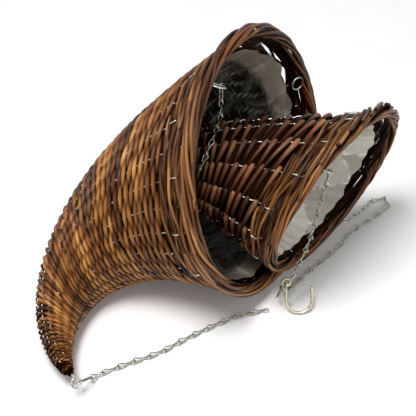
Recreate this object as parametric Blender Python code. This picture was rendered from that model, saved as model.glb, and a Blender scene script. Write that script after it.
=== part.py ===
"""Two willow cornucopia baskets, the small one pushed into the mouth of the large one.

Each basket is a bent, tapered horn of woven willow on thin wire stakes, with a collar of long
rods, a twisted border, a plastic film liner, a wire eye and ring at the tail, and jack chains
that gather at one hook. Lengths are metres. The floor is z = 0.
"""
import math

import bmesh
import bpy
from mathutils import Matrix, Vector

# Clearances and wires shared by both baskets
SEAT_GAP = 0.0003
HANG_GAP = 0.0005
STAKE_WIRE = 0.0022
FILM = 0.0008
RING_WIRE = 0.0022
LINK_WIRE = 0.0020
LINK_PITCH = 0.0208
LINK_LOOP = 0.0078
LINK_FUSE = 0.0002
LINK_SIDES = 4
WIRE_SIDES = 5
HOOK_SIDES = 6
CHANNEL_SIDES = 8
TAIL_OUT_SHARE = 0.95
TAIL_BACK_SHARE = 0.9
HOOK_WIRE = 0.0038
HOOK_WIDTH = 0.0370
HOOK_LEG = 0.0180
HOOK_EYE = 0.0046
HOOK_LEAN = 45.0
HOOK_FOOT = (0.1007, -0.0696, 0.0022)
EYE_LOOP = 0.0042
EYE_SHANK = 0.0100
CLIP_LENGTH = 0.0250
CLIP_LOOP = 0.0078
RING_BITE = 0.0034
GATHER_RADIUS = 0.0105
GATHER_WAY = (-0.5, -0.6, -0.6)
WEAVE_RELIEF = 0.0021
WEAVE_FADE_RADIUS = 0.0500
FLOOR_ROOM = 0.0060

# The mouth radius and the foot of the small rim that the hook and the routes were drawn for
DRAWN_MOUTH = 0.1730
DRAWN_FOOT = (0.12903, 0.03840)
LINK_REST = 0.0040

# Routes of the chains, chosen by hand; scene.py repeats them
LARGE_TAIL_ROUTE = [
    (-0.1538, -0.1706, 0.0040), (-0.1368, -0.1621, 0.0040), (-0.1092, -0.1494, 0.0040),
    (-0.0762, -0.1346, 0.0040), (-0.0428, -0.1118, 0.0040), (-0.0074, -0.0907, 0.0040),
    (0.0240, -0.0740, 0.0040), (0.0430, -0.0700, 0.0040), (0.0600, -0.0650, 0.0042),
]
LARGE_NEAR_ROUTE = [
    (-0.0008, 0.0259, 0.2560), (-0.0098, 0.0262, 0.2180), (-0.0160, 0.0125, 0.2100),
    (-0.0212, 0.0022, 0.2020), (-0.0262, -0.0052, 0.1922),
]
SMALL_NEAR_ROUTE = [
    (0.1192, -0.0471, 0.1820), (0.1122, -0.0481, 0.1320), (0.1032, -0.0521, 0.0960),
    (0.0920, -0.0590, 0.0660), (0.0800, -0.0680, 0.0470),
]
SMALL_FAR_ROUTE = [
    (0.1962, 0.1109, 0.0060), (0.2082, 0.1279, 0.0040), (0.2222, 0.1399, 0.0040),
    (0.2382, 0.1359, 0.0040), (0.2332, 0.1189, 0.0040), (0.2082, 0.0979, 0.0040),
    (0.1772, 0.0699, 0.0040), (0.1592, 0.0439, 0.0040), (0.1362, 0.0199, 0.0040),
    (0.1182, 0.0019, 0.0040), (0.1022, -0.0161, 0.0040), (0.0902, -0.0301, 0.0060),
]

# The horns: angles in degrees, powers, and shares of their own lengths
TAPER_POWER = 1.81
SAG_CENTRE_SHARE = 0.66
SAG_WIDTH_SHARE = 0.16

LARGE = {
    "name": "large",
    "mouth_radius": 0.1730,
    "spine_length": 0.4535,
    "tip_radius": 0.0062,
    "mouth_lean": 17.6,
    "tail_bend": 149.4,
    "spine_power": 1.66,
    "section_power": 3.31,
    "taper_share": 0.76,
    "weave": 0.0055,
    "collar_weave": 0.0085,
    "collar_depth": 0.0340,
    "border_radius": 0.0095,
    "sag": 0.0060,
    "tail_ring_radius": 0.0062,
    "near_ring_radius": 0.0110,
    "far_ring_radius": 0.0090,
    "tail_ring_way": (-0.1, -0.75, -0.6),
    "foot": (0.09737, 0.01783, 0.00071),
    "turn": (-25.97, -16.72, 18.59),
    "lines": 28,
    "hairpins": True,
    "weave_step": 0.0150,
    "stations": 11,
    "lobe_steps": 30,
    "rim_rings": [
        ("near", 88.0, -1.0, (0.95, -0.05, -0.3), (0.1, 0.5, 0.86)),
        ("far", -12.0, -1.0, (-0.6, -0.5, -0.6), (-0.5, 0.85, 0.0)),
    ],
}
# The small basket is a lesser size of the same pattern: shares of the large one's sizes
SMALL = {
    "name": "small",
    "mouth_share": 0.7497,
    "spine_share": 0.6485,
    "tip_share": 0.7742,
    "mouth_lean": 28.4,
    "tail_bend": 131.0,
    "spine_power": 3.5,
    "section_power": 2.77,
    "taper_share": 1.087,
    "weave": 0.0050,
    "collar_weave": 0.0080,
    "collar_depth": 0.0290,
    "border_radius": 0.0082,
    "sag": 0.0,
    "tail_ring_radius": 0.0062,
    "near_ring_radius": 0.0085,
    "far_ring_radius": 0.0085,
    "tail_ring_way": (0.1, 0.2, -1.0),
    "nest_shares": (0.45979, 0.02252, -0.40737),
    "turn": (-40.29, 11.61, 0.76),
    "lines": 14,
    "hairpins": False,
    "weave_step": 0.0165,
    "stations": 10,
    "lobe_steps": 24,
    "rim_rings": [
        ("near", 122.0, -1.0, (0.95, -0.1, -0.35), (0.1, 0.5, 0.86)),
        ("far", 295.0, 1.0, (0.95, -0.1, -0.1), (0.1, 0.6, 0.8)),
    ],
}
SPINE_STEPS = 200
STATION_POWER = 0.9
SIDES = 28
LINER_SIDES = 14
COLLAR_BANDS = 3
BORDER_SIDES = 8
BORDER_TWISTS = 3.0
BORDER_HOLLOW_SHARE = 0.86
HAIRPIN_SHARE = 0.36
RING_STEPS = 16
CHANNEL_STEPS = 24


def clear_scene():
    for thing in list(bpy.data.objects):
        bpy.data.objects.remove(thing)


def material(name, colour, roughness, metallic=0.0, alpha=1.0):
    made = bpy.data.materials.new(name)
    made.use_nodes = True
    shader = made.node_tree.nodes["Principled BSDF"]
    shader.inputs["Base Color"].default_value = (*colour, 1.0)
    shader.inputs["Roughness"].default_value = roughness
    shader.inputs["Metallic"].default_value = metallic
    shader.inputs["Alpha"].default_value = alpha
    return made


def spine(basket):
    """Centres of the sections in the horn's own plane, from the tail to the mouth at the origin."""
    step = basket["spine_length"] / SPINE_STEPS
    lean, bend = basket["mouth_lean"], basket["tail_bend"]
    points = [Vector((0.0, 0.0, 0.0))]
    for index in range(SPINE_STEPS):
        back = (index + 0.5) / SPINE_STEPS
        heading = math.radians(lean + (bend - lean) * back ** basket["spine_power"])
        points.append(points[-1] - step * Vector((math.cos(heading), math.sin(heading), 0.0)))
    return points[::-1]


def section(basket, share):
    """Centre, outward axis, sideways axis and outer radius of the section at a share of the spine."""
    place = share * SPINE_STEPS
    low = min(int(place), SPINE_STEPS - 1)
    centre = basket["spine"][low].lerp(basket["spine"][low + 1], place - low)
    facing = math.radians(basket["tail_bend"] * (1.0 - share) ** basket["section_power"])
    normal = Vector((math.cos(facing), math.sin(facing), 0.0))
    across = Vector((-math.sin(facing), math.cos(facing), 0.0))
    linear = basket["taper_share"]
    taper = linear * share + (1.0 - linear) * share ** TAPER_POWER
    radius = basket["tip_radius"] + (basket["mouth_radius"] - basket["tip_radius"]) * taper
    return centre, normal, across, radius


def share_at_depth(basket, depth):
    """Share of the spine whose section lies this deep behind the mouth plane."""
    low = 0.5
    high = 1.0
    for _ in range(40):
        middle = (low + high) / 2
        if -section(basket, middle)[0].x > depth:
            low = middle
        else:
            high = middle
    return high


def section_point(basket, share, inset, angle):
    """A point on a section, this far inside its outer surface; the underside sags a little."""
    centre, _, across, radius = section(basket, share)
    reach = radius - inset
    height = math.sin(angle)
    if height < 0.0:
        away = (share - SAG_CENTRE_SHARE) / SAG_WIDTH_SHARE
        height *= 1.0 + basket["sag"] / radius * math.exp(-away * away)
    return centre + reach * (math.cos(angle) * across + height * Vector((0.0, 0.0, 1.0)))


def section_ring(basket, share, inset, sides):
    return [section_point(basket, share, inset, math.tau * side / sides) for side in range(sides)]


def add_mesh(name, bm, look, smooth=False):
    bmesh.ops.recalc_face_normals(bm, faces=bm.faces)
    data = bpy.data.meshes.new(name)
    bm.to_mesh(data)
    bm.free()
    for face in data.polygons:
        face.use_smooth = smooth
    made = bpy.data.objects.new(name, data)
    made.data.materials.append(look)
    bpy.context.scene.collection.objects.link(made)
    return made


def skin(bm, rings, closed=False, fold=None):
    """Join rings into a tube, capped unless it closes; past the fold its triangles lean the other way."""
    rows = [[bm.verts.new(point) for point in ring] for ring in rings]
    count = len(rows[0])
    pairs = list(zip(rows, rows[1:]))
    if closed:
        pairs.append((rows[-1], rows[0]))
    for place, (first, second) in enumerate(pairs):
        for side in range(count):
            after = (side + 1) % count
            if fold is None:
                bm.faces.new((first[side], first[after], second[after], second[side]))
            elif place < fold:
                bm.faces.new((first[side], first[after], second[after]))
                bm.faces.new((first[side], second[after], second[side]))
            else:
                bm.faces.new((first[side], first[after], second[side]))
                bm.faces.new((first[after], second[after], second[side]))
    if not closed:
        bm.faces.new(rows[0])
        bm.faces.new(rows[-1][::-1])


def wire_corner(wire, sides):
    """Corner radius of the polygon with as much area as the round wire."""
    return wire / 2 * math.sqrt(math.tau / (sides * math.sin(math.tau / sides)))


def wire_flat(wire, sides):
    """How far the flats of that polygon lie from its middle."""
    return wire_corner(wire, sides) * math.cos(math.pi / sides)


def sweep(bm, points, wire, sides, closed=False, start_side=None):
    """A wire along points, with its frame carried along so that it does not twist."""
    count = len(points)
    tangents = []
    for index in range(count):
        if closed:
            tangents.append((points[(index + 1) % count] - points[index - 1]).normalized())
        else:
            before = points[max(index - 1, 0)]
            after = points[min(index + 1, count - 1)]
            tangents.append((after - before).normalized())
    side_way = start_side or tangents[0].orthogonal()
    corner = wire_corner(wire, sides)
    rings = []
    for point, tangent in zip(points, tangents):
        side_way = (side_way - tangent * side_way.dot(tangent)).normalized()
        other = tangent.cross(side_way)
        ring = []
        for side in range(sides):
            angle = math.tau * (side + 0.5) / sides
            ring.append(point + corner * (math.cos(angle) * side_way + math.sin(angle) * other))
        rings.append(ring)
    skin(bm, rings, closed)


def smooth_route(points, step):
    """Points about one step apart along a smooth curve through the route's own points."""
    route = [Vector(point) for point in points]
    padded = [2 * route[0] - route[1], *route, 2 * route[-1] - route[-2]]
    fine = []
    for index in range(len(route) - 1):
        a, b, c, d = padded[index:index + 4]
        for piece in range(24):
            t = piece / 24
            fine.append(0.5 * (2 * b + (c - a) * t + (2 * a - 5 * b + 4 * c - d) * t * t
                               + (3 * b - a - 3 * c + d) * t ** 3))
    fine.append(route[-1])
    lengths = [0.0]
    for first, second in zip(fine, fine[1:]):
        lengths.append(lengths[-1] + (second - first).length)
    count = max(1, round(lengths[-1] / step))
    even = []
    index = 0
    for piece in range(count + 1):
        goal = lengths[-1] * piece / count
        while index < len(fine) - 2 and lengths[index + 1] < goal:
            index += 1
        span = lengths[index + 1] - lengths[index]
        even.append(fine[index].lerp(fine[index + 1], (goal - lengths[index]) / span))
    return even


def woven_ring(basket, root, share, row):
    """Points round a section that go out over one stake line and in under the next."""
    sides = basket["sides"]
    relief = WEAVE_RELIEF * min(1.0, section(basket, share)[3] / WEAVE_FADE_RADIUS)
    ring = []
    for side in range(sides):
        turn = side / sides
        inset = relief * (1.0 - math.cos(math.pi * (basket["lines"] * turn + row))) / 2
        point = section_point(basket, share, inset, math.tau * turn)
        if (root.matrix_basis @ point).z < FLOOR_ROOM:
            point = section_point(basket, share, 0.0, math.tau * turn)
        ring.append(point)
    return ring


def horn_wall(basket, root, look):
    """The woven horn: a shell open at the mouth, its last stretch at the tail solid."""
    bm = bmesh.new()
    sides = basket["sides"]
    inner_shares = basket["inner_shares"]
    rows = round(basket["body_share"] * basket["spine_length"] / basket["weave_step"])
    outer = [section_ring(basket, 0.0, 0.0, sides)]
    outer += [woven_ring(basket, root, basket["body_share"] * row / rows, row) for row in range(1, rows)]
    outer.append(section_ring(basket, basket["body_share"], 0.0, sides))
    inner = [section_ring(basket, share, basket["weave"], sides) for share in inner_shares]
    skin(bm, outer + inner[::-1])
    wall = add_mesh(basket["name"] + "_woven_horn", bm, look)
    wall.parent = root
    return wall


def collar_band(basket, root, look):
    """The band of long rods between the woven body and the border."""
    bm = bmesh.new()
    sides = basket["sides"]
    low = basket["body_share"] + SEAT_GAP / basket["spine_length"]
    high = basket["rim_share"]
    shares = [low + (high - low) * step / COLLAR_BANDS for step in range(COLLAR_BANDS + 1)]
    outer = [section_ring(basket, share, 0.0, sides) for share in shares]
    inner = [section_ring(basket, share, basket["collar_weave"], sides) for share in shares]
    skin(bm, outer + inner[::-1], closed=True)
    made = add_mesh(basket["name"] + "_collar", bm, look)
    made.parent = root
    return made


def twisted_border(basket, root, look):
    """The border: rods twisted round each other along the mouth, as one bar with slow lobes."""
    bm = bmesh.new()
    radius = basket["border_radius"]
    steps = basket["lobe_steps"]
    centre_radius = basket["mouth_radius"] - radius
    rings = []
    for step in range(steps):
        angle = math.tau * step / steps
        out = Vector((0.0, math.cos(angle), math.sin(angle)))
        ring = []
        for side in range(BORDER_SIDES):
            turn = math.tau * (side / BORDER_SIDES + step / steps * BORDER_TWISTS)
            lobe = radius if side % 2 == 0 else radius * BORDER_HOLLOW_SHARE
            ring.append(out * (centre_radius + lobe * math.cos(turn))
                        + Vector((-radius + lobe * math.sin(turn), 0.0, 0.0)))
        rings.append(ring)
    skin(bm, rings, closed=True)
    made = add_mesh(basket["name"] + "_border", bm, look)
    made.parent = root
    return made


def stake_leg(basket, shares, angle):
    """Sections of a stake against the inside of the weave, a flat side turned inward."""
    inset = basket["weave"] + SEAT_GAP + STAKE_WIRE / 2
    half = STAKE_WIRE / 2
    rings = []
    for share in shares:
        _, _, across, _ = section(basket, share)
        out = math.cos(angle) * across + Vector((0.0, 0.0, math.sin(angle)))
        along = -math.sin(angle) * across + Vector((0.0, 0.0, math.cos(angle)))
        middle = section_point(basket, share, inset, angle)
        rings.append([middle + half * out, middle - half * out + half * along,
                      middle - half * out - half * along])
    return rings


def mitred(basket, rings, share, angle, side):
    """A leg's last section cut slantwise, where the wire turns over to the other leg."""
    _, _, across, _ = section(basket, share)
    toward = side * (-math.sin(angle) * across + Vector((0.0, 0.0, math.cos(angle))))
    before, last = rings[-2:]
    middle = (last[1] + last[2]) / 2
    cut = []
    for first, point in zip(before, last):
        cut.append(point + ((point - middle).dot(toward) + STAKE_WIRE / 2) * (first - point).normalized())
    return cut


def wire_stakes(basket, root, look):
    """Wires from the tail to the mouth: single ones, or hairpins whose second leg starts half way."""
    lines = basket["lines"]
    legs = 2 if basket["hairpins"] else 1
    shares = basket["inner_shares"][1:]
    short = [share for share in shares if share > HAIRPIN_SHARE]
    for index in range(lines // legs):
        angle = math.tau * legs * index / lines
        rings = stake_leg(basket, shares, angle)
        if legs == 2:
            other = math.tau * (legs * index + 1) / lines
            back = stake_leg(basket, short, other)
            rings[-1] = mitred(basket, rings, shares[-1], angle, 1.0)
            back[-1] = mitred(basket, back, shares[-1], other, -1.0)
            rings += [[ring[0], ring[2], ring[1]] for ring in back[::-1]]
        bm = bmesh.new()
        skin(bm, rings)
        stake = add_mesh(f"{basket['name']}_stake_{index + 1:02d}", bm, look)
        stake.parent = root


def cut_at_floor(made):
    """Flatten a piece where it lies on the floor, as willow flattens under its own weight."""
    bm = bmesh.new()
    bm.from_mesh(made.data)
    world = made.parent.matrix_basis @ made.matrix_basis
    local = world.inverted()
    point = local @ Vector((0.0, 0.0, 0.0))
    up = (local.to_3x3() @ Vector((0.0, 0.0, 1.0))).normalized()
    everything = bm.verts[:] + bm.edges[:] + bm.faces[:]
    bmesh.ops.bisect_plane(bm, geom=everything, plane_co=point, plane_no=up, clear_inner=True)
    open_edges = [edge for edge in bm.edges if edge.is_boundary]
    bmesh.ops.holes_fill(bm, edges=open_edges)
    bm.to_mesh(made.data)
    bm.free()


def circle(centre, first, second, radius, count, start=0.0, turn=math.tau):
    """Points round a circle, or along an arc of it with both ends."""
    whole = abs(turn) >= math.tau
    steps = count if whole else count - 1
    points = []
    for index in range(count):
        angle = start + turn * index / steps
        points.append(centre + radius * (math.cos(angle) * first + math.sin(angle) * second))
    return points


def wire_piece(name, route, wire, look, closed=False, sides=WIRE_SIDES):
    bm = bmesh.new()
    sweep(bm, route, wire, sides, closed)
    return add_mesh(name, bm, look, smooth=True)


def round_ring(name, centre, axis, radius, look):
    """A closed wire ring whose object origin is its centre, so that it can turn about its axis."""
    axis = Vector(axis).normalized()
    first = axis.orthogonal().normalized()
    second = axis.cross(first)
    route = circle(Vector((0.0, 0.0, 0.0)), first, second, radius, RING_STEPS)
    made = wire_piece(name, route, RING_WIRE, look, True)
    made.location = centre
    return made


def jack_link(bm, start, end, side):
    """One link: a wire bent into two loops that stand square to each other."""
    forward = (end - start).normalized()
    side = (side - forward * side.dot(forward)).normalized()
    other = forward.cross(side)
    middle = (start + end) / 2
    reach = ((end - start).length - LINK_FUSE) / 2 + wire_flat(LINK_WIRE, LINK_SIDES)
    loop = (LINK_LOOP - LINK_WIRE) / 2
    tail_out = LINK_WIRE * TAIL_OUT_SHARE
    tail_back = LINK_WIRE * TAIL_BACK_SHARE
    low = circle(middle - (reach - loop) * forward, side, forward, loop, 4, math.pi, math.pi)
    high = circle(middle + (reach - loop) * forward, other, forward, loop, 4, math.pi, -math.pi)
    path = [middle - tail_out * side - tail_back * forward, *low, middle, *high,
            middle + tail_out * other + tail_back * forward]
    sweep(bm, path, LINK_WIRE, LINK_SIDES, start_side=other)


def link_sides(points, side, last_side):
    """Each link's side, carried along the chain and turned little by little to suit the last."""
    aheads = [(end - start).normalized() for start, end in zip(points, points[1:])]
    sides = []
    for ahead in aheads:
        side = (side - ahead * side.dot(ahead)).normalized()
        sides.append(side)
    if last_side is None:
        return sides
    goal = (last_side - aheads[-1] * last_side.dot(aheads[-1])).normalized()
    twist = math.atan2(aheads[-1].dot(sides[-1].cross(goal)), sides[-1].dot(goal))
    twist = math.remainder(twist, math.pi)
    turned = []
    for index, (ahead, side) in enumerate(zip(aheads, sides)):
        turned.append(Matrix.Rotation(twist * index / (len(sides) - 1), 3, ahead) @ side)
    return turned


def jack_chain(name, route, side, last_side, look):
    """Links along a route, fused where they hang on each other."""
    points = smooth_route(route, LINK_PITCH)
    sides = link_sides(points, side, last_side)
    halves = []
    for parity in range(2):
        bm = bmesh.new()
        for index, (start, end) in enumerate(zip(points, points[1:])):
            if index % 2 == parity:
                jack_link(bm, start, end, sides[index])
        halves.append(add_mesh(name if parity == 0 else name + "_odd_links", bm, look, smooth=False))
    chain, odd = halves
    odd.hide_render = True
    odd.display_type = "WIRE"
    fuse = chain.modifiers.new("fuse", "BOOLEAN")
    fuse.operation = "UNION"
    fuse.object = odd
    return chain


def film_liner(basket, root, look):
    """The film bag against the stakes, closed at its deep end and open at the mouth."""
    bm = bmesh.new()
    sides = LINER_SIDES
    outset = basket["weave"] + 2 * SEAT_GAP + STAKE_WIRE
    shares = basket["liner_shares"]
    outer = [section_ring(basket, share, outset, sides) for share in shares]
    inner = [section_ring(basket, share, outset + FILM, sides) for share in shares[1:]]
    skin(bm, outer + inner[::-1], fold=len(outer))
    made = add_mesh(basket["name"] + "_liner", bm, look)
    made.parent = root
    return made


def drill(solid, route, wire, closed, name):
    """Cut the channel that a wire runs in, with the seat's clearance."""
    bm = bmesh.new()
    sweep(bm, route, wire + 2 * SEAT_GAP, CHANNEL_SIDES, closed)
    cutter = add_mesh(name, bm, solid.data.materials[0])
    cutter.parent = solid.parent
    cutter.hide_render = True
    cutter.display_type = "WIRE"
    cut = solid.modifiers.new("channel", "BOOLEAN")
    cut.operation = "DIFFERENCE"
    cut.object = cutter


def tail_eye(basket, root, wall, look):
    """A wire eye whose shank runs into the solid end of the tail."""
    tip = basket["spine"][0]
    out = (basket["spine"][0] - basket["spine"][1]).normalized()
    world = root.matrix_basis
    across = (world.to_3x3().inverted() @ Vector((0.0, 0.0, 1.0))).cross(out).normalized()
    other = out.cross(across)
    inner_end = tip - EYE_SHANK * out
    loop_centre = tip + (RING_WIRE + EYE_LOOP) * out
    loop = circle(loop_centre, -out, other, EYE_LOOP, 10, 0.0, math.tau * 10 / 12)
    eye = wire_piece(basket["name"] + "_tail_eye", [inner_end, *loop], RING_WIRE, look)
    eye.parent = root
    bore = [inner_end - SEAT_GAP * out, tip + RING_WIRE * out]
    drill(wall, bore, RING_WIRE, False, basket["name"] + "_tail_bore")
    far = loop_centre + EYE_LOOP * out
    return world @ far, (world.to_3x3() @ out).normalized(), (world.to_3x3() @ across).normalized()


def hang_ring(basket, far, out, wire_way, look):
    """The tail ring, its wire against the far end of the eye."""
    way = Vector(basket["tail_ring_way"])
    way = (way - wire_way * way.dot(wire_way)).normalized()
    inside = far - (2 * wire_corner(RING_WIRE, WIRE_SIDES) + HANG_GAP) * out
    axis = wire_way.cross(way).normalized()
    radius = basket["tail_ring_radius"]
    centre = inside + radius * way
    round_ring(basket["name"] + "_tail_ring", centre, axis, radius, look)
    return centre, axis, radius


def on_ring(ring, toward):
    """Where a link hangs on a ring toward a point: place, way in the ring's plane, side of the link."""
    centre, axis, radius = ring
    way = toward - centre
    flat = (way - axis * way.dot(axis)).normalized()
    place = centre + radius * flat
    along = axis.cross(flat).normalized()
    way = toward - place
    way = (way - along * way.dot(along)).normalized()
    return place, way, along


def hang_room(wire):
    """From the middle of a wire to the joint of a link that hangs on it."""
    link_end = wire_corner(LINK_WIRE, LINK_SIDES) - wire_flat(LINK_WIRE, LINK_SIDES) + LINK_FUSE / 2
    return wire_corner(wire, WIRE_SIDES) + link_end + HANG_GAP


def clip(name, ring, toward, look):
    """A long closed clip round a ring's wire; gives where the first link starts and its side."""
    place, way, along = on_ring(ring, toward)
    across = along.cross(way).normalized()
    loop = (CLIP_LOOP - LINK_WIRE) / 2
    apart = wire_corner(RING_WIRE, WIRE_SIDES) + wire_corner(LINK_WIRE, WIRE_SIDES) + HANG_GAP
    near = place - apart * way
    far = near + CLIP_LENGTH * way
    points = circle(near + loop * way, across, way, loop, 6, math.pi, math.pi)
    points += circle(far - loop * way, across, way, loop, 6, 0.0, math.pi)
    wire_piece(name, points, LINK_WIRE, look, True)
    return far - hang_room(LINK_WIRE) * way, along


def first_link(ring, toward):
    """Where a chain starts when its first link hangs on the ring itself, and that link's side."""
    place, way, along = on_ring(ring, toward)
    return place - hang_room(RING_WIRE) * way, along.cross(way).normalized()


def rim_ring(basket, root, border, spot, look):
    """A ring whose wire runs through the border, free to turn in its channel."""
    which, degrees, side, way, axis = spot
    radius = basket[which + "_ring_radius"]
    angle = math.radians(degrees)
    radial = Vector((0.0, math.cos(angle), math.sin(angle)))
    reach = basket["mouth_radius"] + (side - 1.0) * basket["border_radius"]
    world = root.matrix_basis
    surface = world @ (Vector((-basket["border_radius"], 0.0, 0.0)) + reach * radial)
    way = Vector(way).normalized()
    axis = Vector(axis)
    axis = (axis - way * axis.dot(way)).normalized()
    centre = surface + (radius - RING_BITE) * way
    name = f"{basket['name']}_{which}_ring"
    round_ring(name, centre, axis, radius, look)
    home = world.inverted()
    local = home.to_3x3()
    first = axis.orthogonal().normalized()
    route = circle(home @ centre, local @ first, local @ axis.cross(first), radius, CHANNEL_STEPS)
    drill(border, route, RING_WIRE + 2 * SEAT_GAP, True, name + "_channel")
    return centre, axis, radius


def hook_and_ring(look, wire_look):
    """The hanging hook, leaning on its crook, and the ring that gathers the chains."""
    lean = math.radians(HOOK_LEAN)
    up = Vector((0.0, math.cos(lean), math.sin(lean)))
    right = Vector((1.0, 0.0, 0.0))
    facing = right.cross(up).normalized()
    bend = (HOOK_WIDTH - HOOK_WIRE) / 2
    middle = drawn(HOOK_FOOT) + bend * up
    left_top = middle - bend * right + HOOK_LEG * up
    route = circle(middle, right, up, bend, 9, math.tau, -math.pi)
    route = [middle + bend * right + HOOK_LEG * up, *route]
    eye_centre = left_top + HOOK_EYE * up
    eye = circle(Vector((0.0, 0.0, 0.0)), -up, right, HOOK_EYE, 12, 0.0, math.tau * 11 / 12)
    route += [eye_centre + point for point in eye]
    hook = wire_piece("hook", [point - eye_centre for point in route], HOOK_WIRE, look, sides=HOOK_SIDES)
    hook.location = eye_centre
    way = Vector(GATHER_WAY)
    way = (way - facing * way.dot(facing)).normalized()
    axis = facing.cross(way).normalized()
    slack = HOOK_EYE - SEAT_GAP
    slack -= wire_corner(HOOK_WIRE, HOOK_SIDES) + wire_corner(RING_WIRE, WIRE_SIDES)
    centre = eye_centre + (GATHER_RADIUS + slack) * way
    round_ring("gather_ring", centre, axis, GATHER_RADIUS, wire_look)
    return centre, axis, GATHER_RADIUS


def turned(basket):
    azimuth, tilt, roll = (math.radians(angle) for angle in basket["turn"])
    return Matrix.Rotation(azimuth, 3, "Z") @ Matrix.Rotation(tilt, 3, "Y") @ Matrix.Rotation(roll, 3, "X")


def down_the_mouth(basket):
    """Which way the lowest point of the rim lies from the middle of the mouth."""
    normal = turned(basket) @ Vector((1.0, 0.0, 0.0))
    return (normal * normal.z - Vector((0.0, 0.0, 1.0))).normalized()


def place_baskets():
    """The large rim stands on its foot; the small basket lies in its mouth, sized and placed to suit."""
    large_radius = LARGE["mouth_radius"]
    LARGE["centre"] = Vector(LARGE["foot"]) - large_radius * down_the_mouth(LARGE)
    for size in ("mouth_radius", "spine_length", "tip_radius"):
        SMALL[size] = LARGE[size] * SMALL[size.split("_")[0] + "_share"]
    SMALL["centre"] = LARGE["centre"] + large_radius * (turned(LARGE) @ Vector(SMALL["nest_shares"]))


def drawn(point):
    """A point of a route or of the hook, moved with the small rim's foot and grown with the mouth."""
    grown = LARGE["mouth_radius"] / DRAWN_MOUTH
    foot = SMALL["centre"] + SMALL["mouth_radius"] * down_the_mouth(SMALL)
    return Vector((foot.x + (point[0] - DRAWN_FOOT[0]) * grown,
                   foot.y + (point[1] - DRAWN_FOOT[1]) * grown,
                   LINK_REST + max(0.0, point[2] - LINK_REST) * grown + min(0.0, point[2] - LINK_REST)))


def plan_basket(basket):
    """Work out the stations along the spine that the wall, stakes and liner share."""
    basket["sides"] = SIDES
    basket["spine"] = spine(basket)
    rim_depth = 2 * basket["border_radius"] + SEAT_GAP
    basket["rim_share"] = share_at_depth(basket, rim_depth)
    basket["body_share"] = share_at_depth(basket, rim_depth + basket["collar_depth"])
    count = basket["stations"]
    shares = [basket["body_share"] * (index / (count - 1)) ** STATION_POWER for index in range(count)]
    room = basket["weave"] + 2 * STAKE_WIRE
    basket["inner_shares"] = [share for share in shares if section(basket, share)[3] > room + basket["weave"]]
    basket["liner_shares"] = basket["inner_shares"][2:]


def build_basket(basket, looks):
    """Build one basket about its mouth; gives where its rings are, with their axes."""
    plan_basket(basket)
    name = basket["name"]
    root = bpy.data.objects.new(name + "_basket", None)
    bpy.context.scene.collection.objects.link(root)
    root.location = basket["centre"]
    root.rotation_euler = turned(basket).to_euler()
    wall = horn_wall(basket, root, looks["willow"])
    border = twisted_border(basket, root, looks["bark"])
    for piece in (wall, border, collar_band(basket, root, looks["willow"])):
        cut_at_floor(piece)
    wire_stakes(basket, root, looks["wire"])
    film_liner(basket, root, looks["film"])
    far, out, wire_way = tail_eye(basket, root, wall, looks["wire"])
    rings = {"tail": hang_ring(basket, far, out, wire_way, looks["wire"])}
    for spot in basket["rim_rings"]:
        rings[spot[0]] = rim_ring(basket, root, border, spot, looks["wire"])
    return rings


clear_scene()
place_baskets()
LOOKS = {
    "willow": material("brown_willow", (0.16, 0.075, 0.03), 0.55),
    "bark": material("dark_willow", (0.11, 0.055, 0.028), 0.6),
    "wire": material("galvanised_wire", (0.55, 0.55, 0.53), 0.35, 0.9),
    "brass": material("plated_hook", (0.62, 0.56, 0.4), 0.3, 0.9),
    "film": material("clear_film", (0.62, 0.62, 0.56), 0.2, 0.0, 0.5),
}
RINGS = {"large": build_basket(LARGE, LOOKS), "small": build_basket(SMALL, LOOKS)}
GATHER = hook_and_ring(LOOKS["brass"], LOOKS["wire"])
CHAINS = [
    ("large", "tail", LARGE_TAIL_ROUTE, True, False),
    ("large", "near", LARGE_NEAR_ROUTE, True, False),
    ("small", "near", SMALL_NEAR_ROUTE, False, True),
    ("small", "far", SMALL_FAR_ROUTE, False, True),
]
for owner, which, route, clipped, gathered in CHAINS:
    held = RINGS[owner][which]
    route = [drawn(point) for point in route]
    goal = route[0]
    if clipped:
        start, link_side = clip(f"{owner}_{which}_clip", held, goal, LOOKS["wire"])
    else:
        start, link_side = first_link(held, goal)
    points = [start, *route]
    last_side = None
    if gathered:
        place, way, last_side = on_ring(GATHER, route[-1])
        points.append(place - hang_room(RING_WIRE) * way)
    jack_chain(f"{owner}_{which}_chain", points, link_side, last_side, LOOKS["wire"])
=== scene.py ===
"""Looks of two nested willow cornucopia baskets: rods, wires, film, chains and a hook."""
from math import atan2, cos, pi, radians, remainder, sin, tau
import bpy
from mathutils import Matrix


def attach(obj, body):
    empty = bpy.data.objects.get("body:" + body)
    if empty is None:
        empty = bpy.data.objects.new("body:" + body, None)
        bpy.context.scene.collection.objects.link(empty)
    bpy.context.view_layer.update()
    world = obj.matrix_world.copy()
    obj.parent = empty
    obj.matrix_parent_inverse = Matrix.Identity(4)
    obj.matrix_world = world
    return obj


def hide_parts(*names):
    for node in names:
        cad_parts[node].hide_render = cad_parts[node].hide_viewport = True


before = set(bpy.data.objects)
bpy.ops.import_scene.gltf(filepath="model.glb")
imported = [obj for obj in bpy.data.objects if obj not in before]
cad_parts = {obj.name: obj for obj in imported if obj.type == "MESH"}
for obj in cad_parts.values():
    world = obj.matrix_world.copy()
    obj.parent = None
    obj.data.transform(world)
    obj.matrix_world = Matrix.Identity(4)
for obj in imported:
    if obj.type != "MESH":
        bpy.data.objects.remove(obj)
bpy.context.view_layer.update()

from types import SimpleNamespace

import bpy
import numpy as np
from mathutils import Matrix, Vector

SEED = 417
RANDOM = np.random.default_rng(SEED)

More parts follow.
